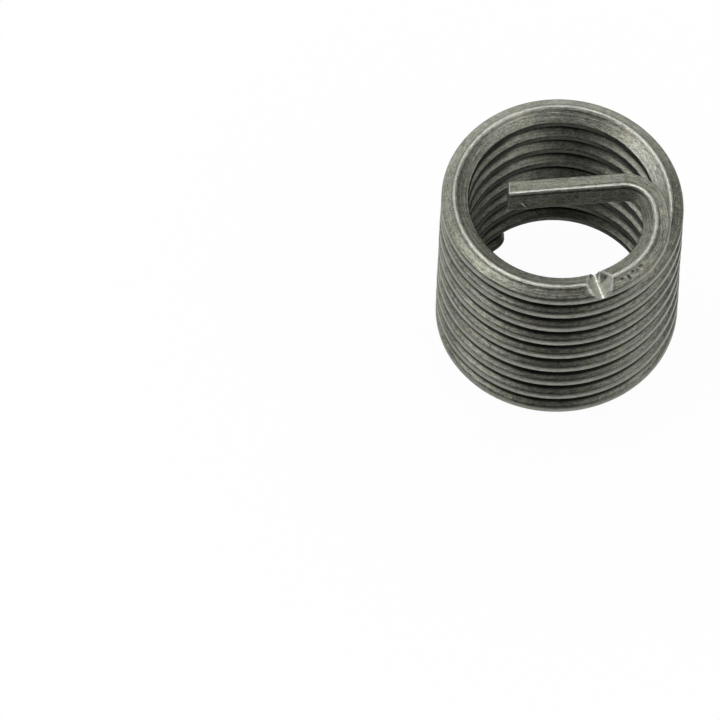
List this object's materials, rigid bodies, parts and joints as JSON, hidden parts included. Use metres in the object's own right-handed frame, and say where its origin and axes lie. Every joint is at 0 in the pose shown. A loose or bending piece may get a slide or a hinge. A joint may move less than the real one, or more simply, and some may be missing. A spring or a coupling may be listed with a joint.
{
  "type": "wire thread insert",
  "caption": "Coil of rolled diamond-section wire that lines a tapped hole with a new bolt thread; its last end is bent across the bore as a driving tang beside a break-off notch.",
  "frame": {"origin": "on the coil's axis, level with the lowest point of the plain end that the part stands on", "axes": "+Z along the coil's axis, from the plain end that it stands on towards the tang end. +X and +Y are across the axis; seen from the tang end the wire leaves the coil at 312 degrees from +X, and the tang points towards -X"},
  "size_m": [0.0184, 0.0184, 0.0192],
  "materials": {
    "wire": "satin, drawn and rolled stainless wire"
  },
  "bodies": {
    "root": {"wire_coil": "wire"}
  },
  "joints": []
}
